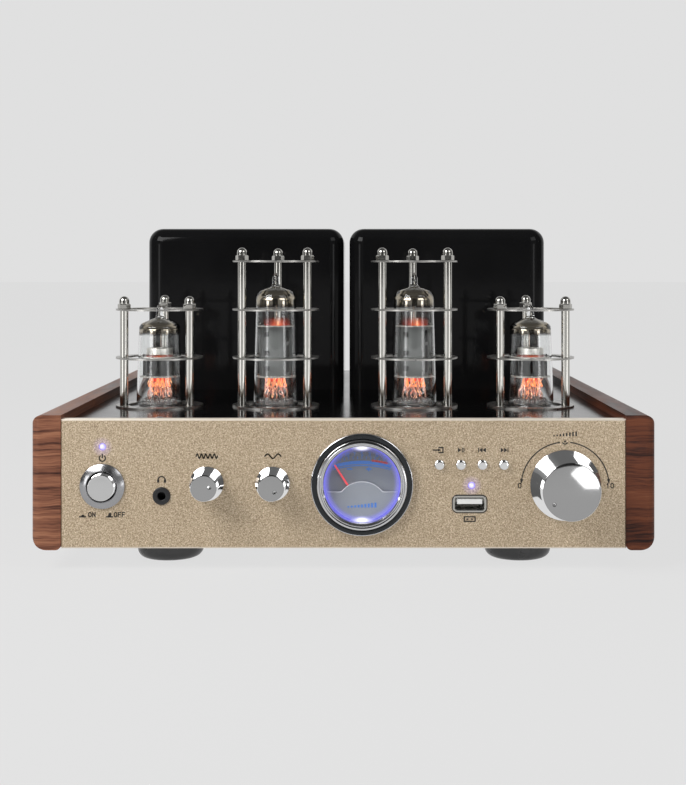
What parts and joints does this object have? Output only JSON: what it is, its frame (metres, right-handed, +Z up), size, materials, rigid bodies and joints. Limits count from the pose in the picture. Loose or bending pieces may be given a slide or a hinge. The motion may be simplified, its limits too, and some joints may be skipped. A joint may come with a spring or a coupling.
{
  "type": "stereo amplifier",
  "caption": "Desktop vacuum-tube stereo amplifier: caged glass tubes before black transformer covers, walnut sides, champagne front with knobs, level meter and sockets",
  "frame": {"origin": "on the table under the middle of the overall width and depth", "axes": "X to the right seen from the front, Y from the front to the back, Z up"},
  "size_m": [0.2766, 0.3516, 0.1565],
  "materials": {
    "champagne_panel": "fine sandblasted, champagne anodised",
    "black_steel": "glossy black enamel",
    "zinc_steel": "bright zinc plated sheet",
    "walnut": "walnut with gloss varnish",
    "foot_rubber": "moulded, satin",
    "chrome_plate": "polished chrome plate",
    "polished_steel": "polished stainless steel",
    "core_iron": "varnished laminations",
    "coil_copper": "enamelled winding under tape",
    "tube_glass": "clear blown glass with a mirrored crown",
    "tube_metal": "carbonised grey plate",
    "ceramic": "glazed ceramic",
    "circuit_board": "solder mask",
    "black_plastic": "moulded, matte",
    "control_metal": "stamped and plated",
    "shaft_steel": "ground",
    "dial_card": "printed",
    "needle_red": "painted",
    "meter_glass": "flat, clear",
    "lamp_blue": "clear lens, lit",
    "usb_steel": "bright plated",
    "sink_black": "black anodised",
    "post_gold": "gold plated",
    "red_plastic": "moulded, gloss"
  },
  "bodies": {
    "cabinet": {"chassis_tray": "zinc_steel", "top_deck": "black_steel", "front_panel": "champagne_panel", "rear_panel": "black_steel", "left_side_panel": "walnut", "right_side_panel": "walnut", "feet": "foot_rubber", "case_screws": "chrome_plate", "left_transformer_cover": "black_steel", "right_transformer_cover": "black_steel", "transformer_cores": "core_iron", "transformer_coils": "coil_copper", "tube_sockets": "ceramic", "cage_posts": "polished_steel", "cage_cap_nuts": "chrome_plate", "tube_1_bulb": "tube_glass", "tube_1_mount": "tube_metal", "cage_1_rings": "polished_steel", "tube_2_bulb": "tube_glass", "tube_2_mount": "tube_metal", "cage_2_rings": "polished_steel", "tube_3_bulb": "tube_glass", "tube_3_mount": "tube_metal", "cage_3_rings": "polished_steel", "tube_4_bulb": "tube_glass", "tube_4_mount": "tube_metal", "cage_4_rings": "polished_steel", "potentiometers": "control_metal", "power_bezel": "chrome_plate", "power_switch": "black_plastic", "control_board": "circuit_board", "meter_can": "black_plastic", "meter_dial": "dial_card", "meter_glass": "meter_glass", "meter_bezel": "chrome_plate", "leds": "lamp_blue", "headphone_jack": "black_plastic", "usb_socket": "usb_steel", "main_board": "circuit_board", "heat_sink": "sink_black", "speaker_posts": "post_gold", "phono_jacks": "chrome_plate", "power_inlet": "black_plastic"},
    "volume_control": {"volume_knob": "chrome_plate", "volume_shaft": "shaft_steel"},
    "treble_control": {"treble_knob": "chrome_plate", "treble_shaft": "shaft_steel"},
    "bass_control": {"bass_knob": "chrome_plate", "bass_shaft": "shaft_steel"},
    "power_push": {"power_button": "chrome_plate"},
    "input_push": {"input_button": "chrome_plate"},
    "play_push": {"play_button": "chrome_plate"},
    "previous_push": {"previous_button": "chrome_plate"},
    "next_push": {"next_button": "chrome_plate"},
    "needle": {"meter_needle": "needle_red"},
    "screw_cap_1": {"speaker_cap_1": "red_plastic"},
    "screw_cap_2": {"speaker_cap_2": "black_plastic"},
    "screw_cap_3": {"speaker_cap_3": "red_plastic"},
    "screw_cap_4": {"speaker_cap_4": "black_plastic"}
  },
  "joints": [
    {"name": "volume_turn", "type": "hinge", "parent": "cabinet", "child": "volume_control", "pos_m": [0.098, -0.15625, 0.0381], "axis": [0, 1, 0], "range_deg": [-25, 275]},
    {"name": "treble_turn", "type": "hinge", "parent": "cabinet", "child": "treble_control", "pos_m": [-0.0604, -0.15625, 0.0388], "axis": [0, 1, 0], "range_deg": [-233, 67]},
    {"name": "bass_turn", "type": "hinge", "parent": "cabinet", "child": "bass_control", "pos_m": [-0.0312, -0.15625, 0.0388], "axis": [0, 1, 0], "range_deg": [-290, 10]},
    {"name": "power_press", "type": "slide", "parent": "cabinet", "child": "power_push", "axis": [0, -1, 0], "range_m": [-0.0005, 0.003]},
    {"name": "input_press", "type": "slide", "parent": "cabinet", "child": "input_push", "axis": [0, 1, 0], "range_m": [0, 0.0008], "stiffness_N_per_m": 300},
    {"name": "play_press", "type": "slide", "parent": "cabinet", "child": "play_push", "axis": [0, 1, 0], "range_m": [0, 0.0008], "stiffness_N_per_m": 300},
    {"name": "previous_press", "type": "slide", "parent": "cabinet", "child": "previous_push", "axis": [0, 1, 0], "range_m": [0, 0.0008], "stiffness_N_per_m": 300},
    {"name": "next_press", "type": "slide", "parent": "cabinet", "child": "next_push", "axis": [0, 1, 0], "range_m": [0, 0.0008], "stiffness_N_per_m": 300},
    {"name": "needle_swing", "type": "hinge", "parent": "cabinet", "child": "needle", "pos_m": [0.0082, -0.15125, 0.0276], "axis": [0, 1, 0], "range_deg": [0, 66], "stiffness_Nm_per_rad": 0.00002},
    {"name": "screw_cap_1_turn", "type": "hinge", "parent": "cabinet", "child": "screw_cap_1", "pos_m": [-0.0945, 0.16575, 0.037], "axis": [0, 1, 0], "range_deg": [0, 720]},
    {"name": "screw_cap_2_turn", "type": "hinge", "parent": "cabinet", "child": "screw_cap_2", "pos_m": [-0.0755, 0.16575, 0.037], "axis": [0, 1, 0], "range_deg": [0, 720]},
    {"name": "screw_cap_3_turn", "type": "hinge", "parent": "cabinet", "child": "screw_cap_3", "pos_m": [-0.0565, 0.16575, 0.037], "axis": [0, 1, 0], "range_deg": [0, 720]},
    {"name": "screw_cap_4_turn", "type": "hinge", "parent": "cabinet", "child": "screw_cap_4", "pos_m": [-0.0375, 0.16575, 0.037], "axis": [0, 1, 0], "range_deg": [0, 720]}
  ]
}
